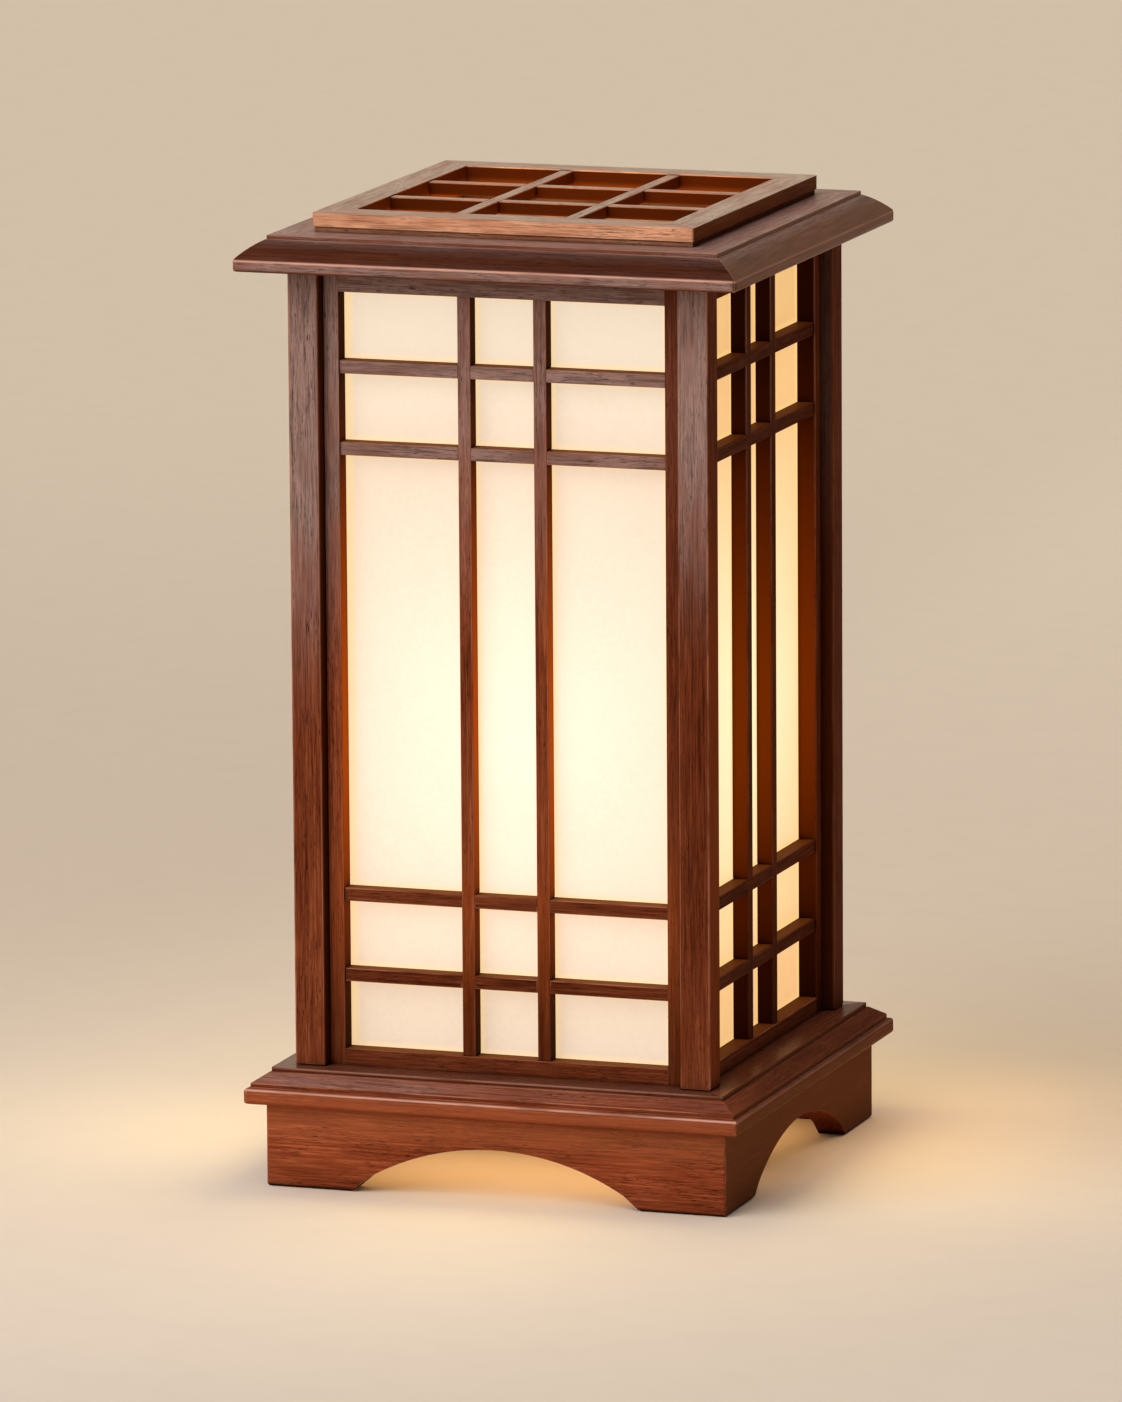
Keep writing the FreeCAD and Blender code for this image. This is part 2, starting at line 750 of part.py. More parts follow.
def make_lamp_pipe():
    """Lamp pipe, which carries the holder and lets the cord in through its bore."""
    body = new_body("lamp_pipe")
    plan = on_plan(body, "pipe_foot")
    circle(plan, "pipe_radius")
    circle(plan, "pipe_bore")
    pad(body, plan, "pipe_length")


def make_pipe_nuts():
    """Two hexagon nuts that clamp the pipe to the crosspiece, one above and one below it."""
    body = new_body("pipe_nuts")
    for height in ["lamp_bar_foot - nut_thickness", "apron_height"]:
        plan = on_plan(body, height)
        turns = [f"{360 / NUT_SIDES * corner} deg" for corner in range(NUT_SIDES)]
        loop(plan, [(f"nut_corner * cos({turn})", f"nut_corner * sin({turn})") for turn in turns])
        circle(plan, "pipe_hole_radius")
        pad(body, plan, "nut_thickness")


# Lamp holder and bulb

def make_lamp_holder():
    """Insulating cup on the pipe's upper end."""
    body = new_body("lamp_holder")
    section = on_front(body)
    loop(section, [
        ("pipe_hole_radius", "holder_foot"),
        ("holder_radius - holder_round", "holder_foot", "holder_round"),
        ("holder_radius", "holder_foot + holder_round"),
        ("holder_radius", "holder_top"),
        ("cup_radius", "holder_top"),
        ("cup_radius", "cup_floor"),
        ("wire_hole_radius", "cup_floor"),
        ("wire_hole_radius", "pipe_head"),
        ("pipe_hole_radius", "pipe_head"),
    ])
    revolve(body, section)


def make_holder_screw_shell():
    """Metal shell in the cup, in which the bulb's cap screws."""
    body = new_body("holder_screw_shell")
    plan = on_plan(body, "cup_floor")
    circle(plan, "shell_outer")
    circle(plan, "shell_inner")
    pad(body, plan, "shell_height")


def make_holder_contact():
    """Centre contact on the floor of the cup."""
    body = new_body("holder_contact")
    plan = on_plan(body, "cup_floor")
    circle(plan, "contact_radius")
    pad(body, plan, "contact_thickness")


def make_bulb_cap():
    """Screw cap of the bulb, with a socket for the neck of the glass."""
    body = new_body("bulb_cap")
    section = on_front(body)
    loop(section, [
        ("0", "cap_foot"),
        ("cap_tip_radius", "cap_foot"),
        ("cap_radius", "cap_foot + cap_cone_height"),
        ("cap_radius", "cap_top"),
        ("cap_socket", "cap_top"),
        ("cap_socket", "cap_socket_foot"),
        ("0", "cap_socket_foot"),
    ])
    revolve(body, section)


def make_bulb_glass():
    """Glass envelope: straight neck, hollow shoulder and round head, all of one wall."""
    body = new_body("bulb_glass")
    section = on_front(body)
    share_out = "bulb_radius / glass_reach"
    share_in = "inner_radius / glass_reach"
    loop(section, [
        ("neck_radius", "neck_foot"),
        ("neck_radius", "neck_top", "-shoulder_radius"),
        (f"shoulder_out * {share_out}", f"bulb_centre - bulb_rise * {share_out}", "bulb_radius"),
        ("0", "bulb_centre + bulb_radius"),
        ("0", "bulb_centre + inner_radius", "-inner_radius"),
        (f"shoulder_out * {share_in}", f"bulb_centre - bulb_rise * {share_in}", "inner_shoulder"),
        ("neck_radius - glass_wall", "neck_top"),
        ("neck_radius - glass_wall", "neck_foot"),
    ])
    revolve(body, section)


# Assembly

for turns, side in enumerate(SIDES):
    make_apron(side, turns)
    make_base_frame(side, turns)
    make_roof_frame(side, turns)
    make_grille_frame(side, turns)
    for hand, sign in HANDS:
        make_stile(side, turns, hand, sign)
    make_rail(side, turns, "bottom", "panel_foot", "sill_top")
    make_rail(side, turns, "top", "lintel_foot", "panel_head")
    make_kumiko_upright(side, turns)
    make_kumiko_cross(side, turns)
    make_paper(side, turns)

for turns, corner in enumerate(CORNERS):
    make_post(corner, turns)

make_corner_blocks()
make_grille_bars("grille_bars_long", 0, "grille_bar_foot", upward=True)
make_grille_bars("grille_bars_cross", 1, "grille_bar_top", upward=False)
make_lamp_bar()
make_lamp_bar_screws()
make_lamp_pipe()
make_pipe_nuts()
make_lamp_holder()
make_holder_screw_shell()
make_holder_contact()
make_bulb_cap()
make_bulb_glass()
doc.recompute()


# Tests and output

def test_document():
    """Stops if a feature failed, a shape is bad or a cut removed nothing."""
    for item in doc.Objects:
        if "Invalid" in item.State or "Error" in item.State:
            raise RuntimeError(f"{item.Label} failed: {item.State}")
        if item.TypeId == "PartDesign::Pocket":
            if item.Shape.Volume > item.BaseFeature.Shape.Volume - 1e-6:
                raise RuntimeError(f"{item.Label} cuts nothing")
    for body in doc.findObjects("PartDesign::Body"):
        if body.Shape.isNull() or not body.Shape.isValid():
            raise RuntimeError(f"{body.Label} has no valid shape")


test_document()
os.makedirs("parts", exist_ok=True)
for body in doc.findObjects("PartDesign::Body"):
    body.Shape.exportStep(f"parts/{body.Label}.step")
    print(body.Label, len(body.Shape.Solids), round(body.Shape.Volume, 1))
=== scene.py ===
import json
import math
import random
from collections import namedtuple

import bpy
from mathutils import Matrix, Vector


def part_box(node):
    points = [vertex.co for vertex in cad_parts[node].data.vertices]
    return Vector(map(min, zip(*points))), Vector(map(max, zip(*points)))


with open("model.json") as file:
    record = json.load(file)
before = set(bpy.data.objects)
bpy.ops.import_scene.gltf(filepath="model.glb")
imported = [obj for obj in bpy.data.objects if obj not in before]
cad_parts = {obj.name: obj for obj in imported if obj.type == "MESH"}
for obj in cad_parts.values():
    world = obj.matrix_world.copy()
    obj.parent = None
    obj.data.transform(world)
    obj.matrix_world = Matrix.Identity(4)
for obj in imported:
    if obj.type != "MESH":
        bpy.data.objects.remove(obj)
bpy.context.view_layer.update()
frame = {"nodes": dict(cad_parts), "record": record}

MM = 0.001
NODES = frame["nodes"]
SLOT_OF = {part["node"]: part["material_slot"] for part in frame["record"]["subparts"]}
SIDES = ("front", "right", "back", "left")
# Sides that the studio's window lights
WINDOW_SIDES = ("front", "left")

# The photograph's view: image height and focal length in pixels, angles in degrees, lengths in millimetres
IMAGE_HEIGHT = 1402
FOCAL_PIXELS = 11649.4
CAMERA_YAW = 18.952
CAMERA_ELEVATION = 10.416
CAMERA_ROLL = -0.380
CAMERA_DISTANCE = 5473.3
TARGET_SIDE = -4.473
TARGET_HEIGHT = 216.476
SENSOR = 36.0
# Where the camera's view starts and ends, in metres
CLIP_NEAR = 0.05
CLIP_FAR = 100.0

# Lattice of one panel and the bulb, in millimetres as in the solids
STILE_INNER = 77.6
UPRIGHT_OUTER = 21.55
BAR = 6.2
CELL = 32.0
PANEL_LOW = 64.2
PANEL_HIGH = 421.0
GLOW_HEIGHT = 215.0

# Heights of the mouldings: painted highlights on arrises, the base's flat top and the roof's bevel, in
# millimetres
NOSE_ARRIS = 46.9
LEDGE_ARRIS = 56.1
LEDGE_TOP = 56.5
EAVES_ARRIS = 437.2
BEVEL_LOW = 437.8
BEVEL_HIGH = 446.0

# Heights in millimetres between which painted light, shade, sheen and the bulb's light change. Of four:
# start, full, fade, end
SKIRT_FEET = (0, 20)
SKIRT_CHANGE = (15, 22)
SKIRT_HIGH = (18, 36)
NOSE_FACE = (NOSE_ARRIS - 1.0, NOSE_ARRIS - 0.5)
BASE_SLOPE = (LEDGE_TOP - 7.2, LEDGE_TOP - 6.2, LEDGE_TOP - 2.4, LEDGE_TOP - 1.8)
BASE_LEDGE = BASE_SLOPE[2:]
UPRIGHTS_LOW = (60, 190)
BULB_NECK = (150, 200)
SHEEN_RISE = (250, 400)
ROOF_UPPER = (435, 445)
ROOF_BEVEL = (BEVEL_LOW - 0.3, BEVEL_LOW + 0.5, BEVEL_HIGH - 0.5, BEVEL_HIGH + 0.3)
GRILLE_FOOT = (BEVEL_HIGH, BEVEL_HIGH + 0.5, BEVEL_HIGH + 1.5, BEVEL_HIGH + 6.5)

# The painted sheen starts this much lower on the left post, and less and less so between these two places
SHEEN_DROP = 44
LEFT_POST = (-98, -60)
# The base's slope has less and less of it between these two places
SLOPE_ASIDE = (-60, 60)
# How far the lamp's light reaches from the bulb's height, on the bars and on the near posts
BAR_GLOW = (-150, 0, 0, 180)
POST_GLOW_RISE = (-190, 0)
POST_GLOW_FALL = (40, 160)
# Distances from a face between which the painted shade of a recess changes
FACE_NEAR = 0.2
FACE_FAR = 1.2
# The grille's cells: distances outwards from their bars' ends, and from its top to the arrises and the walls
CELL_WALL = (0.2, 0.9)
CELL_ARRIS = (-0.7, -0.1)
CELL_DEPTH = (-9.5, -4.5)
# Width of a painted highlight line on an arris, and how far painted shade spreads from a corner
ARRIS_WIDTH = 0.8
SHADE_REACH = 4.0

# Wood colours, linear
WOOD_DARK = (0.055, 0.0105, 0.0034)
WOOD_MID = (0.138, 0.0305, 0.0108)
WOOD_LIGHT = (0.240, 0.0650, 0.0255)
WOOD_PORE = (0.016, 0.0040, 0.0020)
# Painted shade: in corners and creases, on the roof's bevel, on the base's flat top and at the skirt's feet
PAINTED_SHADE = (0.020, 0.0045, 0.0015)
# Painted shade on faces away from the window
AWAY_SHADE = (0.170, 0.0570, 0.0200)
# Worn and painted-highlight colour of the rounded arrises
WORN_AND_HIGHLIT = (0.460, 0.190, 0.115)
# Painted highlight lines along the mouldings' arrises
ARRIS_HIGHLIGHT = (0.680, 0.360, 0.270)
# Painted shade in recesses and where the panels meet a post
RECESS_SHADE = (0.042, 0.0080, 0.0010)
# Painted reflection of the lamp's light on the panel pieces' upper faces
SILL_REFLECTION = (0.170, 0.0520, 0.0120)
# The lamp's light painted on bars and posts, and its painted reflection on the base's flat top away from the
# window
BAR_LIT = (0.500, 0.0880, 0.0015)
BAR_LIT_SHADED = (0.205, 0.0350, 0.0010)
POST_LIT = (0.300, 0.0540, 0.0060)
LEDGE_LIT = (0.090, 0.0190, 0.0020)
# Painted light on the face below the base's nose and high on the skirt
NOSE_LIT = (0.560, 0.1550, 0.0630)
APRON_LIT = (0.600, 0.2000, 0.0800)
APRON_AWAY = (0.250, 0.0900, 0.0350)
# Painted lamp light at the foot of the grille's cell walls and painted shade at their head
CELL_FOOT = (0.195, 0.0460, 0.0045)
CELL_HEAD = (0.050, 0.0100, 0.0016)
# Painted sheen of sides and of upper faces
WOOD_SHEEN = ((0.340, 0.208, 0.180), (0.340, 0.208, 0.180))
GRILLE_SHEEN = ((0.860, 0.430, 0.255), (0.465, 0.332, 0.255))

# Scales of the wood's noises, along and across the grain, per metre
FIGURE = (7, 36)
STREAK = (30, 950)
FIBRE = (110, 3200)
PORE = (190, 3400)
PATCH = (25, 90)
WEAR_AND_GLINT = (40, 160)
# Scales of the other noises along X, Y and Z, per metre
PAPER_FIBRE = (260, 260, 260)
PAPER_CLOUD = (28, 28, 28)
METAL_BRUSH = (500, 500, 4000)
METAL_STAIN = (90, 90, 90)
PLASTIC_GRAIN = (1600, 1600, 1600)
GLASS_FROST = (900, 900, 900)
FLOOR_SPECK = (40, 40, 40)

# Specular level of sides and of upper faces, and roughness: most of the wood, and the glossier pieces
PLAIN_GLOSS = (0.004, 0.004, 0.43)
GLOSS = {
    "base_frame_right": (0.004, 0.04, 0.28), "base_frame": (0.004, 0.40, 0.26),
    "roof_frame_front": (0.02, 0.09, 0.36), "roof_frame": (0.09, 0.09, 0.36), "grille": (0.004, 0.09, 0.38),
}
# Tone and redness of each wood, by the record's slot
TONES = {
    "base_wood": (1.15, 1.06), "frame_wood": (1.0, 1.0), "lattice_wood": (0.95, 1.0),
    "grille_wood": (1.7, 1.0), "inner_wood": (2.6, 0.8),
}
# Pieces lighter or darker than the rest: partly their boards' tone, partly painted light
BOARD_TONE_AND_LIGHT = {
    "stile_left_front": 1.75, "stile_right_front": 1.05, "post_front_left": 1.12,
    "kumiko_upright_front": 1.45, "apron_front": 1.42,
}
# How much lighter a rounded arris is, and how much worn and painted-highlight colour it takes
ARRIS_TONE = 1.15
ARRIS_WEAR_AND_HIGHLIGHT = 0.55
# Lattice of the two sides away from the window, in painted shade: darker, less worn and painted-highlight
# colour on its arrises
SHADED_TONE = 0.72
SHADED_WEAR_AND_HIGHLIGHT = 0.12
SHADED_RECESS = 0.6
# How much of the painted sheen a piece takes, 1 where it isn't named
SHEEN_SHARES = {
    "stile_right_front": 0.1, "stile_left_front": 1.35, "stile": 0.6, "kumiko_upright": 0.9, "post": 1.5,
    "kumiko_cross": 1.2, "grille": 1.25, "rail_top": 1.2,
}
# How much painted shade, a plain darker colour, a piece takes on the sides away from the window
AWAY_SHADE_SHARES = {"apron": 0.80, "base_frame": 0.60, "roof_frame": 0.70, "grille_frame": 0.60}
# How much of the wood's own colour the roof's bevel keeps under its painted shade
BEVEL_FRONT = 0.34
BEVEL_SIDE = 0.72
# Heights of the painted highlight lines along each piece's mouldings
ARRISES = {"base_frame": (NOSE_ARRIS, LEDGE_ARRIS), "roof_frame": (EAVES_ARRIS,)}
# Edge roundings of the wooden pieces in millimetres, by the start of the node's name
EDGES = {
    "apron": 1.2, "base_frame": 0.28, "roof_frame": 0.28, "grille_frame": 0.7, "grille_bars": 0.5,
    "post": 0.9, "stile": 0.45, "rail": 0.4, "kumiko": 0.4, "corner_blocks": 0.6, "lamp_bar": 0.6,
}
# How the solids' facets are joined and their arrises found and rounded: millimetres, degrees and steps
WELD_GAP = 0.01
FLAT_ANGLE = 0.6
SHARP_ANGLE = 30
BEVEL_ANGLE = 28
BEVEL_STEPS = 3

# Emission of the paper: top, bulb's height, foot and beside the bars. More where little light falls on it
PAPER_BRIGHT = ((0.76, 0.61, 0.45), (1.10, 0.79, 0.58), (0.73, 0.53, 0.37), (1.00, 0.66, 0.26))
PAPER_SHADED = ((0.83, 0.48, 0.175), (1.15, 0.90, 0.54), (0.94, 0.53, 0.205), (1.05, 0.66, 0.22))
# The paper's own colour between its fibres and on them
PAPER_BASE = ((0.27, 0.26, 0.24), (0.29, 0.28, 0.26))
# In millimetres: the glow's reach from the bulb's height and how far aside it fades, the heights between
# which the top's and the foot's colours change, and the distances from a bar between which the rim's does
PAPER_GLOW = (-150, 0, 0, 160)
PAPER_FADE = 95
PAPER_TOP = (310, 415)
PAPER_FOOT = (PANEL_LOW, PANEL_LOW + 50)
PAPER_RIM = (0.2, 3.4)

# Bulb: its glass, its light at the neck and above, and the light's strength
BULB_GLASS = (0.9, 0.86, 0.8)
BULB_NECK_LIGHT = (0.6, 0.25, 0.06)
BULB_LIGHT = (1.0, 0.55, 0.20)
BULB_STRENGTH = 9.0

# Floor: circle, height just under the feet, colours in painted light and shade, and the places between which
# they change, in metres
FLOOR_SIDES = 96
FLOOR_RADIUS = 30.0
FLOOR_HEIGHT = -0.05 * MM
FLOOR_NEAR = (0.675, 0.580, 0.500)
FLOOR_MIDDLE = (0.590, 0.490, 0.395)
FLOOR_FAR = (0.650, 0.548, 0.438)
FLOOR_MIDDLE_FROM = (-0.30, 0.55)
FLOOR_FAR_FROM = (0.6, 2.2)
FLOOR_NEAR_RIGHT = (0.12, 0.45)
FLOOR_LEFT = (-0.42, -0.20)

# Backdrop and ambient light, which falls off as directions turn from the window's
BACKDROP_COLOUR = (0.665, 0.546, 0.407)
AMBIENT_COLOUR = (1.0, 0.95, 0.88)
AMBIENT_LIT = 0.60
AMBIENT_SHADED = 0.03
WINDOW = (-0.62, -0.50, 0.60)
WINDOW_FALL = (-0.3, 0.9)

# Studio lights: direction, spread in degrees and strength
STUDIO_COLOUR = (1.0, 0.97, 0.93)
STUDIO_LIGHTS = {"key": ((-0.45, -0.66, 0.60), 55, 2.0), "overhead": ((-0.1, -0.15, 1.0), 90, 1.0)}

# Lamp light: outwards from each panel, beside the base, before the front arch, under the base and up to the
# grille. Each has its place, direction, size, power and colour, in millimetres and watts
GLOW_COLOUR = (1.0, 0.82, 0.36)
GLOW_POWER = {"front": 0.22, "right": 0.21, "back": 0.40, "left": 0.36}
GLOW_SIZE = (150, 150)
GLOW_OUT = 100
GLOW_LEVEL = 150
DOWNWARDS = (0, 0, -1)
UPWARDS = (0, 0, 1)
FLOOR_SPILLS = {
    "spill_right": ((150, 95, 95), DOWNWARDS, (56, 230), 0.09, (1.0, 0.62, 0.28)),
    "spill_arch": ((0, -130, 45), DOWNWARDS, (130, 26), 0.007, (1.0, 0.62, 0.06)),
}
INNER_GLOWS = {
    "glow_down": ((0, 0, 38), DOWNWARDS, (200, 200), 0.115, (1.0, 0.60, 0.20)),
    "glow_up": ((0, 0, 430), UPWARDS, (150, 150), 0.18, (1.0, 0.50, 0.03)),
}


# Names of nodes

def side_of(name):
    """The side that a node's name ends in, or None."""
    tail = name.rsplit("_", 1)[-1]
    return tail if tail in SIDES else None


def facing_axis(side):
    """The axis that a side faces along: 0 or 1 for X or Y."""
    return 1 if side in ("front", "back") else 0


def grain_axis(name):
    """Direction of the grain: 0, 1 or 2 for X, Y or Z."""
    if name.startswith(("post_", "stile_", "kumiko_upright", "corner_blocks")):
        return 2
    if name in ("grille_bars_cross", "lamp_bar"):
        return 0
    if name == "grille_bars_long":
        return 1
    return 1 - facing_axis(side_of(name))


def by_start(table, name, otherwise=None):
    """The first value whose key the name starts with, or otherwise where there is none."""
    return next((value for start, value in table.items() if name.startswith(start)), otherwise)


# Node helpers

class Graph:
    """A material's node tree, with short calls to add and join nodes."""

    def __init__(self, name):
        self.material = bpy.data.materials.new(name)
        self.material.use_nodes = True
        self.tree = self.material.node_tree
        self.tree.nodes.clear()
        self.out = self.tree.nodes.new("ShaderNodeOutputMaterial")

    def set(self, socket, value):
        if isinstance(value, bpy.types.NodeSocket):
            self.tree.links.new(value, socket)
        elif isinstance(value, (tuple, list)) and len(value) == 3 and socket.type == "RGBA":
            socket.default_value = (*value, 1.0)
        else:
            socket.default_value = value

    def node(self, kind, inputs=None, **settings):
        made = self.tree.nodes.new(kind)
        for key, value in settings.items():
            setattr(made, key, value)
        for key, value in (inputs or {}).items():
            self.set(made.inputs[key], value)
        return made

    def place(self):
        return self.node("ShaderNodeTexCoord").outputs["Object"]

    def normal(self):
        return self.node("ShaderNodeNewGeometry").outputs["Normal"]

    def split(self, vector):
        return tuple(self.node("ShaderNodeSeparateXYZ", {"Vector": vector}).outputs)

    def math(self, operation, *values):
        made = self.node("ShaderNodeMath", operation=operation)
        for socket, value in zip(made.inputs, values):
            self.set(socket, value)
        return made.outputs[0]

    def times(self, first, *others):
        for other in others:
            first = self.math("MULTIPLY", first, other)
        return first

    def distance(self, value, centre):
        """How far a value is from a centre in millimetres."""
        return self.math("ABSOLUTE", self.math("SUBTRACT", value, centre * MM))

    def scaled(self, place, scale, offset=(0, 0, 0)):
        made = self.node("ShaderNodeMapping", {"Vector": place, "Location": offset, "Scale": scale})
        return made.outputs[0]

    def noise(self, place, detail=2.0, roughness=0.5, distortion=0.0):
        made = self.node("ShaderNodeTexNoise", {
            "Vector": place, "Scale": 1.0,
            "Detail": detail, "Roughness": roughness, "Distortion": distortion})
        return made.outputs["Fac"]

    def ramp(self, value, low, high, from_value=0.0, to_value=1.0):
        made = self.node("ShaderNodeMapRange", {
            "Value": value, "From Min": low, "From Max": high, "To Min": from_value, "To Max": to_value},
            interpolation_type="SMOOTHSTEP")
        return made.outputs[0]

    def level(self, value, low, high, from_value=0.0, to_value=1.0):
        """A ramp between two lengths in millimetres."""
        return self.ramp(value, low * MM, high * MM, from_value, to_value)

    def band(self, value, start, full, fade, end):
        """1 between full and fade, 0 outside start and end, in millimetres."""
        return self.times(self.level(value, start, full), self.level(value, fade, end, 1.0, 0.0))

    def mix(self, share, first, second):
        made = self.node("ShaderNodeMix", data_type="RGBA")
        self.set(made.inputs[0], share)
        self.set(made.inputs[6], first)
        self.set(made.inputs[7], second)
        return made.outputs[2]

    def dimmed(self, colour, share):
        return self.mix(share, (0, 0, 0), colour)

    def bump(self, height, strength, depth):
        """A relief as deep as depth in millimetres."""
        made = self.node("ShaderNodeBump", {"Height": height, "Strength": strength, "Distance": depth * MM})
        return made.outputs[0]

    def principled(self, **inputs):
        """Ends the material in a Principled shader. Underlines in the inputs' names stand for blanks."""
        named = {key.replace("_", " "): value for key, value in inputs.items()}
        shader = self.node("ShaderNodeBsdfPrincipled", named)
        self.tree.links.new(shader.outputs[0], self.out.inputs["Surface"])
        return self.material


# Wood

# A wood's gloss, and its painted light, shade, sheen and highlights
WoodLook = namedtuple("WoodLook", "recess arrises pale pale_share gloss plain")


def wood(name, axis, seed, tone, red, look, wear_and_highlight=0.0):
    """Stained wood with its grain along one axis: broad figure, streaks, fibres and open pores, and painted
    light, shade, sheen and highlights.
    """
    g = Graph(name)
    rng = random.Random(seed)
    offset = tuple(rng.uniform(-5, 5) for _ in range(3))
    place = g.place()

    def grain(scales, **settings):
        along, across = scales
        stretch = [across] * 3
        stretch[axis] = along
        return g.noise(g.scaled(place, stretch, offset), **settings)

    spot = g.split(place)
    normal = g.split(g.normal())
    figure = grain(FIGURE, detail=3.0, distortion=0.8)
    streak = grain(STREAK, detail=4.0, roughness=0.66, distortion=0.2)
    fibre = grain(FIBRE, detail=2.0)
    pore = grain(PORE, detail=1.0)
    patch = grain(PATCH, detail=2.0)
    wear_and_glint = grain(WEAR_AND_GLINT, detail=2.0)

    body = g.math("ADD", g.times(figure, 0.36), g.times(streak, 0.64))
    dark, mid, light = (
        (c[0] * tone * red, c[1] * tone, c[2] * tone) for c in (WOOD_DARK, WOOD_MID, WOOD_LIGHT))
    colour = g.mix(g.ramp(body, 0.33, 0.50), dark, mid)
    colour = g.mix(g.ramp(body, 0.48, 0.68), colour, light)
    # Painted sheen, paler on upper faces, in streaks and patches
    pale = g.mix(g.ramp(normal[2], 0.5, 0.9), *look.pale)
    pale = g.dimmed(pale, g.ramp(streak, 0.28, 0.68, 0.5, 1.35))
    colour = g.mix(painted_sheen(g, spot, normal, patch, look.pale_share), colour, pale)
    colour = g.dimmed(colour, g.ramp(fibre, 0.35, 0.65, 0.72, 1.10))
    pores = g.times(g.ramp(pore, 0.61, 0.67), g.ramp(patch, 0.38, 0.56))
    colour = g.mix(g.times(pores, 0.8), colour, WOOD_PORE)
    # Painted shade: a plain, darker colour on faces turned away from the window
    if look.plain:
        away = g.ramp(g.math("MAXIMUM", normal[0], normal[1]), 0.45, 0.75)
        colour = g.mix(g.times(away, look.plain), colour, AWAY_SHADE)
    # Worn and painted-highlight colour on the rounded arrises, in patches
    if wear_and_highlight:
        colour = g.mix(g.times(g.ramp(wear_and_glint, 0.30, 0.62), wear_and_highlight), colour, WORN_AND_HIGHLIT)
    # Painted highlight lines along the mouldings' arrises, fainter away from the window
    for arris in look.arrises:
        line = g.level(g.distance(spot[2], arris), 0.0, ARRIS_WIDTH, 0.75, 0.0)
        glint_patches = g.ramp(wear_and_glint, 0.25, 0.6, 0.45, 1.0)
        seen = g.ramp(towards_window(g, normal), 0.0, 0.5, 0.3, 1.0)
        colour = g.mix(g.times(line, glint_patches, seen), colour, ARRIS_HIGHLIGHT)
    # Painted light and shade of the piece's parts
    if look.recess:
        share, stain = look.recess(g, spot, normal)
        colour = g.mix(share, stain, colour)
    # Painted shade in corners and creases, from ambient occlusion
    open_air = g.node("ShaderNodeAmbientOcclusion", {"Distance": SHADE_REACH * MM}, samples=6).outputs["AO"]
    colour = g.mix(g.ramp(open_air, 0.25, 0.80), PAINTED_SHADE, colour)
    side_shine, top_shine, roughness = look.gloss
    relief = g.math("SUBTRACT", g.times(fibre, 0.35), g.times(pores, 0.8))
    return g.principled(
        Base_Color=colour,
        Roughness=g.ramp(streak, 0.3, 0.7, roughness + 0.05, roughness - 0.05),
        IOR=1.42,
        Specular_IOR_Level=g.ramp(normal[2], 0.85, 0.99, side_shine, top_shine),
        Normal=g.bump(relief, strength=0.35, depth=0.1))


def towards_window(g, normal):
    """How much a face looks to the front or to the left."""
    return g.math("MAXIMUM", g.times(normal[0], -1.0), g.times(normal[1], -1.0))


def painted_sheen(g, spot, normal, patch, most):
    """Share of painted sheen: high on the window's sides, on the base's slope and on the roof's upper faces.
    """
    x, _, z = spot
    towards = towards_window(g, normal)
    lifted = g.math("ADD", z, g.level(x, *LEFT_POST, SHEEN_DROP * MM, 0.0))
    high = g.times(g.ramp(towards, 0.6, 0.95), g.level(lifted, *SHEEN_RISE))
    high = g.times(high, g.ramp(g.band(z, *GRILLE_FOOT), 0.0, 1.0, 1.0, 0.45))
    slope = g.times(g.band(z, *BASE_SLOPE), g.level(x, *SLOPE_ASIDE, 0.50, 0.12), g.ramp(towards, 0.35, 0.5))
    above = g.times(g.ramp(normal[2], 0.75, 0.97), g.level(z, *ROOF_UPPER))
    pale = g.math("MAXIMUM", g.math("MAXIMUM", high, slope), above)
    return g.times(pale, g.ramp(patch, 0.25, 0.70, 0.45 * most, 0.95 * most))


# Painted light and shade of a piece's parts. Each function gives the share of the wood's own colour and the
# painted colour

def panel_recess(side, outer, upright):
    """Painted shade on a panel piece's sides towards the paper, painted amber lamp light near the bulb, more
    shade low on uprights.
    """
    lit = BAR_LIT if side in WINDOW_SIDES else BAR_LIT_SHADED
    dark = RECESS_SHADE if side in WINDOW_SIDES else tuple(SHADED_RECESS * c for c in RECESS_SHADE)

    def shade(g, spot, normal):
        out = g.math("ABSOLUTE", spot[facing_axis(side)])
        rise = g.math("SUBTRACT", spot[2], GLOW_HEIGHT * MM)
        stain = g.mix(g.band(rise, *BAR_GLOW), dark, lit)
        # Painted reflection of the lamp's light on upper faces
        stain = g.mix(g.ramp(normal[2], 0.7, 0.95), stain, SILL_REFLECTION)
        share = g.level(out, outer - FACE_FAR, outer - FACE_NEAR)
        if upright:
            share = g.times(share, g.level(spot[2], *UPRIGHTS_LOW, 0.38, 1.0))
        return share, stain
    return shade


def post_recess(inner):
    """Painted shade where the panels meet a post, and the lamp's glow painted on the near posts' right sides.
    """
    def shade(g, spot, normal):
        nearest = g.math("MINIMUM", g.math("ABSOLUTE", spot[0]), g.math("ABSOLUTE", spot[1]))
        outside = g.level(nearest, inner + FACE_NEAR, inner + FACE_FAR)
        rise = g.math("SUBTRACT", spot[2], GLOW_HEIGHT * MM)
        amber = g.times(g.level(rise, *POST_GLOW_RISE, 0.45, 1.0), g.level(rise, *POST_GLOW_FALL, 1.0, 0.0))
        away = g.times(g.ramp(normal[0], 0.6, 0.95), g.level(spot[1], 0, 1, 1.0, 0.0))
        kept = g.math("SUBTRACT", 1.0, g.times(amber, away, 0.65))
        share = g.times(g.ramp(outside, 0.0, 1.0, 0.2, 1.0), kept)
        return share, g.mix(outside, RECESS_SHADE, POST_LIT)
    return shade


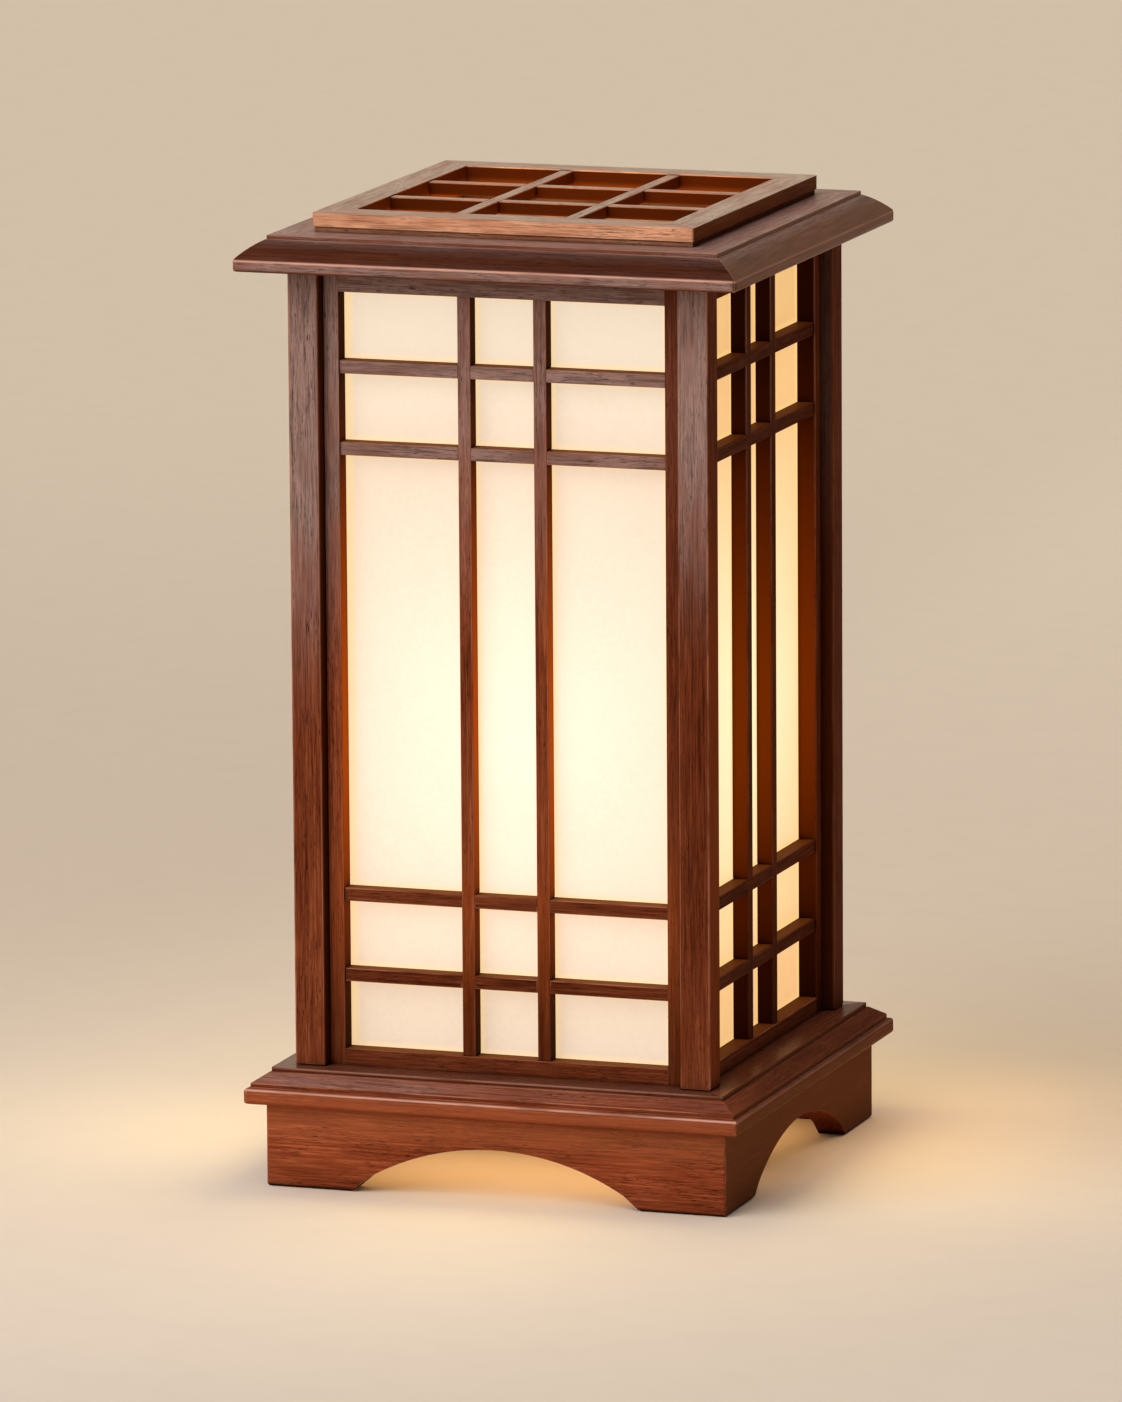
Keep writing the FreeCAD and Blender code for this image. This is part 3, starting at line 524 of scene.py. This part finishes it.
def bevel_shade(share):
    """Painted shade on the roof's bevel."""
    def shade(g, spot, normal):
        return g.ramp(g.band(spot[2], *ROOF_BEVEL), 0.0, 1.0, 1.0, share), PAINTED_SHADE
    return shade


def ledge_light_and_shade(stain, nose):
    """Painted light and shade: the base's flat top and its step darker, in the first colour; the face below
    its nose lighter, in the second.
    """
    def shade(g, spot, normal):
        ledge = g.level(spot[2], *BASE_LEDGE, 1.0, 0.45)
        below = g.level(spot[2], *NOSE_FACE, 1.0, 0.0)
        return g.times(ledge, g.ramp(below, 0.0, 1.0, 1.0, 0.74)), g.mix(below, stain, nose)
    return shade


def apron_light_and_shade(upper_light):
    """Painted light high on the skirt, under the base's overhang, and painted shade at its feet."""
    def shade(g, spot, normal):
        low = g.level(spot[2], *SKIRT_FEET, 0.72, 1.0)
        high = g.level(spot[2], *SKIRT_HIGH, 1.0, 0.76)
        return g.times(low, high), g.mix(g.level(spot[2], *SKIRT_CHANGE), PAINTED_SHADE, upper_light)
    return shade


def cell_light_and_shade(inner, top):
    """Painted light and shade on the grille's cell walls, below their upper arris: lamp light at their foot,
    shade at their head.
    """
    def shade(g, spot, normal):
        widest = g.math("MAXIMUM", g.math("ABSOLUTE", spot[0]), g.math("ABSOLUTE", spot[1]))
        outside = g.level(widest, *(inner + step for step in CELL_WALL))
        upper = g.level(spot[2], *(top + step for step in CELL_ARRIS))
        depth = g.level(spot[2], *(top + step for step in CELL_DEPTH))
        return g.math("MAXIMUM", outside, upper), g.mix(depth, CELL_FOOT, CELL_HEAD)
    return shade


def recess_of(name):
    """The painted light and shade that a node has, or None."""
    low, high = ([value / MM for value in corner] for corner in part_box(name))
    side = side_of(name)
    in_window = side in WINDOW_SIDES
    if name.startswith(("stile_", "rail_", "kumiko_")):
        facing = facing_axis(side)
        outer = max(abs(low[facing]), abs(high[facing]))
        return panel_recess(side, outer, name.startswith(("stile_", "kumiko_upright")))
    if name.startswith("post_"):
        return post_recess(min(abs(low[0]), abs(high[0])))
    if name.startswith("roof_frame"):
        return bevel_shade(BEVEL_FRONT if side in ("front", "back") else BEVEL_SIDE)
    if name.startswith("base_frame"):
        # Window's sides: painted shade on top, painted light below the nose; others: painted lamp reflection
        # and shade
        return ledge_light_and_shade(PAINTED_SHADE, NOSE_LIT) if in_window else ledge_light_and_shade(LEDGE_LIT, AWAY_SHADE)
    if name.startswith("apron"):
        return apron_light_and_shade(APRON_LIT if in_window else APRON_AWAY)
    if name.startswith("grille_"):
        return cell_light_and_shade(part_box("grille_bars_long")[1][1] / MM, high[2])
    return None


# Edges

def shading_group():
    """Node group that drops imported normals and shades smooth below a sharp angle."""
    group = bpy.data.node_groups.new("plain_normals", "GeometryNodeTree")
    group.interface.new_socket("Geometry", in_out="INPUT", socket_type="NodeSocketGeometry")
    group.interface.new_socket("Geometry", in_out="OUTPUT", socket_type="NodeSocketGeometry")
    source = group.nodes.new("NodeGroupInput")
    target = group.nodes.new("NodeGroupOutput")
    angle = group.nodes.new("GeometryNodeInputMeshEdgeAngle")
    sharp = group.nodes.new("FunctionNodeCompare")
    sharp.data_type = "FLOAT"
    sharp.operation = "GREATER_THAN"
    sharp.inputs["B"].default_value = math.radians(SHARP_ANGLE)
    normal = group.nodes.new("GeometryNodeSetMeshNormal")
    normal.mode = "SHARPNESS"
    group.links.new(angle.outputs["Unsigned Angle"], sharp.inputs["A"])
    group.links.new(source.outputs[0], normal.inputs["Mesh"])
    group.links.new(sharp.outputs[0], normal.inputs["Edge Sharpness"])
    group.links.new(normal.outputs[0], target.inputs[0])
    return group


PLAIN_NORMALS = shading_group()


def soften(piece, width):
    """Joins the solid's facets and rounds its arrises, with the worn and painted-highlight colour on the
    rounding.
    """
    weld = piece.modifiers.new("weld", "WELD")
    weld.merge_threshold = WELD_GAP * MM
    flat = piece.modifiers.new("flat", "DECIMATE")
    flat.decimate_type = "DISSOLVE"
    flat.angle_limit = math.radians(FLAT_ANGLE)
    plain = piece.modifiers.new("plain", "NODES")
    plain.node_group = PLAIN_NORMALS
    bevel = piece.modifiers.new("arris", "BEVEL")
    bevel.width = width * MM
    bevel.segments = BEVEL_STEPS
    bevel.limit_method = "ANGLE"
    bevel.angle_limit = math.radians(BEVEL_ANGLE)
    bevel.harden_normals = True
    bevel.material = 1
    bevel.use_clamp_overlap = True


def dress(piece, *materials):
    """Gives a piece its materials."""
    piece.data.materials.clear()
    for material in materials:
        piece.data.materials.append(material)


def dress_wood(name, seed):
    """Gives a wooden node its faces' and its arrises' wood, and rounds it."""
    tone, red = TONES[SLOT_OF[name]]
    # Board tone and painted light of single pieces
    tone *= BOARD_TONE_AND_LIGHT.get(name, 1.0)
    wear_and_highlight = ARRIS_WEAR_AND_HIGHLIGHT
    # Painted shade on the lattice of the sides away from the window
    if SLOT_OF[name] == "lattice_wood" and side_of(name) not in WINDOW_SIDES:
        tone *= SHADED_TONE
        wear_and_highlight = SHADED_WEAR_AND_HIGHLIGHT
    look = WoodLook(
        recess=recess_of(name),
        arrises=by_start(ARRISES, name, ()),
        pale=GRILLE_SHEEN if name.startswith("grille") else WOOD_SHEEN,
        pale_share=by_start(SHEEN_SHARES, name, 1.0),
        gloss=by_start(GLOSS, name, PLAIN_GLOSS),
        plain=by_start(AWAY_SHADE_SHARES, name, 0.0))
    axis = grain_axis(name)
    face = wood(f"{name}_wood", axis, seed, tone, red, look)
    edge = wood(f"{name}_edge", axis, seed, tone * ARRIS_TONE, red, look, wear_and_highlight)
    dress(NODES[name], face, edge)
    soften(NODES[name], by_start(EDGES, name))


for index, name in enumerate(sorted(NODES)):
    if SLOT_OF[name] in TONES:
        dress_wood(name, index)


# Paper

def beside_bars(g, aside, height):
    """Distance of a place on the paper from the nearest bar, stile or rail."""
    rows = [PANEL_LOW - BAR / 2 + step * (CELL + BAR) for step in range(3)]
    rows += [PANEL_HIGH + BAR / 2 - step * (CELL + BAR) for step in range(3)]
    middles = [g.distance(aside, UPRIGHT_OUTER - BAR / 2)] + [g.distance(height, row) for row in rows]
    nearest = g.math("SUBTRACT", STILE_INNER * MM, aside)
    for middle in middles:
        nearest = g.math("MINIMUM", nearest, g.math("SUBTRACT", middle, BAR / 2 * MM))
    return nearest


def paper(name, along, lit):
    """Lit paper: fibres, a glow round the bulb's height and a warmer rim beside the bars."""
    g = Graph(name)
    place = g.place()
    spot = g.split(place)
    height = spot[2]
    aside = g.math("ABSOLUTE", spot[along])
    rim = g.level(beside_bars(g, aside, height), *PAPER_RIM)
    rise = g.math("SUBTRACT", height, GLOW_HEIGHT * MM)
    glow = g.times(g.band(rise, *PAPER_GLOW), g.level(aside, 0, PAPER_FADE, 1.0, 0.45))
    fibre = g.noise(g.scaled(place, PAPER_FIBRE), detail=4.0, roughness=0.65, distortion=1.2)
    cloud = g.noise(g.scaled(place, PAPER_CLOUD), detail=3.0)
    top, heart, foot, edge = lit
    light = g.mix(glow, g.mix(g.level(height, *PAPER_TOP), foot, top), heart)
    light = g.mix(rim, g.mix(0.6, light, edge), light)
    mottle = g.math("ADD", g.ramp(fibre, 0.3, 0.7, 0.98, 1.01), g.ramp(cloud, 0.3, 0.7, -0.02, 0.02))
    light = g.dimmed(light, mottle)
    light = g.dimmed(light, g.level(height, *PAPER_FOOT, 0.92, 1.0))
    return g.principled(
        Base_Color=g.mix(g.ramp(fibre, 0.3, 0.7), *PAPER_BASE),
        Roughness=0.85,
        Specular_IOR_Level=0.2,
        Emission_Color=light,
        Emission_Strength=1.0,
        Normal=g.bump(fibre, strength=0.15, depth=0.2))


for side in SIDES:
    lit = PAPER_BRIGHT if side in WINDOW_SIDES else PAPER_SHADED
    dress(NODES[f"paper_{side}"], paper(f"paper_{side}_sheet", 1 - facing_axis(side), lit))


# Bulb, holder and metal

def metal(name, colour, roughness):
    """Brushed metal with faint stains."""
    g = Graph(name)
    place = g.place()
    brush = g.noise(g.scaled(place, METAL_BRUSH), detail=3.0)
    stain = g.noise(g.scaled(place, METAL_STAIN), detail=3.0)
    return g.principled(
        Base_Color=g.dimmed(colour, g.ramp(stain, 0.35, 0.7, 0.75, 1.0)),
        Metallic=1.0,
        Roughness=g.ramp(brush, 0.3, 0.7, roughness - 0.06, roughness + 0.1),
        Normal=g.bump(brush, strength=0.15, depth=0.05))


def plastic(name, colour):
    """Moulded plastic with a fine grain."""
    g = Graph(name)
    grain = g.noise(g.scaled(g.place(), PLASTIC_GRAIN), detail=2.0)
    return g.principled(
        Base_Color=g.dimmed(colour, g.ramp(grain, 0.3, 0.7, 0.8, 1.15)),
        Roughness=0.5,
        Normal=g.bump(grain, strength=0.2, depth=0.1))


def frosted_bulb(name):
    """Lit frosted glass, dimmer at its neck."""
    g = Graph(name)
    place = g.place()
    frost = g.noise(g.scaled(place, GLASS_FROST), detail=3.0)
    heat = g.level(g.split(place)[2], *BULB_NECK, 0.25, 1.0)
    return g.principled(
        Base_Color=BULB_GLASS,
        Roughness=0.35,
        Emission_Color=g.mix(heat, BULB_NECK_LIGHT, BULB_LIGHT),
        Emission_Strength=BULB_STRENGTH,
        Normal=g.bump(frost, strength=0.1, depth=0.1))


zinc = metal("zinc", (0.62, 0.58, 0.50), 0.32)
brass = metal("brass", (0.75, 0.53, 0.22), 0.28)
alloy = metal("alloy", (0.74, 0.72, 0.68), 0.30)
black = plastic("black_moulding", (0.035, 0.032, 0.030))
for name, material in {
    "lamp_pipe": zinc, "pipe_nuts": zinc, "lamp_bar_screws": zinc,
    "holder_screw_shell": brass, "holder_contact": brass, "bulb_cap": alloy,
    "lamp_holder": black, "bulb_glass": frosted_bulb("frosted_bulb"),
}.items():
    dress(NODES[name], material)


# Floor

def floor_material():
    """Pale floor, with painted light near the lamp and a little painted shade behind it, at the near right
    and at the left.
    """
    g = Graph("pale_floor")
    place = g.place()
    x, y, _ = g.split(place)
    speck = g.noise(g.scaled(place, FLOOR_SPECK), detail=4.0)
    tint = g.mix(g.ramp(y, *FLOOR_MIDDLE_FROM), FLOOR_NEAR, FLOOR_MIDDLE)
    tint = g.mix(g.ramp(y, *FLOOR_FAR_FROM), tint, FLOOR_FAR)
    tint = g.dimmed(tint, g.ramp(speck, 0.3, 0.7, 0.985, 1.01))
    near_right = g.math("SUBTRACT", g.times(x, 0.8), g.times(y, 0.6))
    tint = g.dimmed(tint, g.ramp(near_right, *FLOOR_NEAR_RIGHT, 1.0, 0.90))
    tint = g.dimmed(tint, g.ramp(x, *FLOOR_LEFT, 0.93, 1.0))
    return g.principled(Base_Color=tint, Roughness=0.75, Specular_IOR_Level=0.2)


bpy.ops.mesh.primitive_circle_add(
    vertices=FLOOR_SIDES, radius=FLOOR_RADIUS, fill_type="NGON", location=(0, 0, FLOOR_HEIGHT))
floor = bpy.context.object
floor.name = "floor"
dress(floor, floor_material())


# World and lights

def set_world():
    """Plain soft surround: ambient light, and the backdrop's colour where the camera or gloss sees it."""
    world = bpy.data.worlds.new("studio")
    bpy.context.scene.world = world
    world.use_nodes = True
    nodes = world.node_tree.nodes
    link = world.node_tree.links.new
    nodes.clear()
    out = nodes.new("ShaderNodeOutputWorld")

    ambient = nodes.new("ShaderNodeBackground")
    ambient.inputs["Color"].default_value = (*AMBIENT_COLOUR, 1)
    heading = nodes.new("ShaderNodeTexCoord")
    facing = nodes.new("ShaderNodeVectorMath")
    facing.operation = "DOT_PRODUCT"
    facing.inputs[1].default_value = WINDOW
    fall = nodes.new("ShaderNodeMapRange")
    fall.inputs["From Min"].default_value, fall.inputs["From Max"].default_value = WINDOW_FALL
    fall.inputs["To Min"].default_value = AMBIENT_SHADED
    fall.inputs["To Max"].default_value = AMBIENT_LIT
    link(heading.outputs["Generated"], facing.inputs[0])
    link(facing.outputs["Value"], fall.inputs["Value"])
    link(fall.outputs[0], ambient.inputs["Strength"])

    backdrop = nodes.new("ShaderNodeBackground")
    backdrop.inputs["Color"].default_value = (*BACKDROP_COLOUR, 1)
    rays = nodes.new("ShaderNodeLightPath")
    seen = rays.outputs["Is Camera Ray"]
    for kind in ("Is Glossy Ray", "Is Transmission Ray"):
        either = nodes.new("ShaderNodeMath")
        either.operation = "MAXIMUM"
        link(seen, either.inputs[0])
        link(rays.outputs[kind], either.inputs[1])
        seen = either.outputs[0]
    mix = nodes.new("ShaderNodeMixShader")
    link(seen, mix.inputs[0])
    link(ambient.outputs[0], mix.inputs[1])
    link(backdrop.outputs[0], mix.inputs[2])
    link(mix.outputs[0], out.inputs["Surface"])


def sun_light(name, towards, spread, strength):
    """Soft light from far away, so that the floor is lit alike everywhere."""
    data = bpy.data.lights.new(name, "SUN")
    data.angle = math.radians(spread)
    data.energy = strength
    data.color = STUDIO_COLOUR
    lamp = bpy.data.objects.new(name, data)
    bpy.context.scene.collection.objects.link(lamp)
    lamp.rotation_mode = "QUATERNION"
    lamp.rotation_quaternion = Vector(towards).to_track_quat("Z", "Y")


def glow_light(name, place, outward, size, power, colour):
    """What the lit lamp throws outwards, with no shape of its own in the picture."""
    data = bpy.data.lights.new(name, "AREA")
    data.shape = "RECTANGLE"
    data.size, data.size_y = (side * MM for side in size)
    data.energy = power
    data.color = colour
    lamp = bpy.data.objects.new(name, data)
    bpy.context.scene.collection.objects.link(lamp)
    lamp.visible_camera = False
    lamp.location = Vector(place) * MM
    lamp.rotation_mode = "QUATERNION"
    lamp.rotation_quaternion = Vector(outward).to_track_quat("-Z", "Y")
    return lamp


set_world()
for name, light in STUDIO_LIGHTS.items():
    sun_light(name, *light)
floor_glows = []
for turn, side in enumerate(SIDES):
    angle = math.radians(90 * turn)
    outward = Vector((math.sin(angle), -math.cos(angle), 0))
    place = outward * GLOW_OUT + Vector((0, 0, GLOW_LEVEL))
    floor_glows.append(glow_light(f"glow_{side}", place, outward, GLOW_SIZE, GLOW_POWER[side], GLOW_COLOUR))
for name, light in FLOOR_SPILLS.items():
    floor_glows.append(glow_light(name, *light))
on_floor = bpy.data.collections.new("lit_by_glow")
on_floor.objects.link(floor)
for lamp in floor_glows:
    lamp.light_linking.receiver_collection = on_floor
for name, light in INNER_GLOWS.items():
    glow_light(name, *light)


# Camera

def set_camera():
    """The camera fitted to the photograph."""
    yaw, rise, roll = (math.radians(angle) for angle in (CAMERA_YAW, CAMERA_ELEVATION, CAMERA_ROLL))
    back = Vector((math.sin(yaw) * math.cos(rise), -math.cos(yaw) * math.cos(rise), math.sin(rise)))
    level = Vector((math.cos(yaw), math.sin(yaw), 0))
    plumb = back.cross(level)
    right = level * math.cos(roll) + plumb * math.sin(roll)
    up = plumb * math.cos(roll) - level * math.sin(roll)
    target = Vector((TARGET_SIDE * math.cos(yaw), TARGET_SIDE * math.sin(yaw), TARGET_HEIGHT)) * MM
    data = bpy.data.cameras.new("camera")
    data.sensor_fit = "AUTO"
    data.sensor_width = SENSOR
    data.lens = FOCAL_PIXELS * SENSOR / IMAGE_HEIGHT
    data.clip_start = CLIP_NEAR
    data.clip_end = CLIP_FAR
    camera = bpy.data.objects.new("camera", data)
    bpy.context.scene.collection.objects.link(camera)
    turn = Matrix((right, up, back)).transposed().to_4x4()
    camera.matrix_world = Matrix.Translation(target + back * CAMERA_DISTANCE * MM) @ turn
    bpy.context.scene.camera = camera


set_camera()
bpy.context.scene.view_settings.view_transform = "Standard"
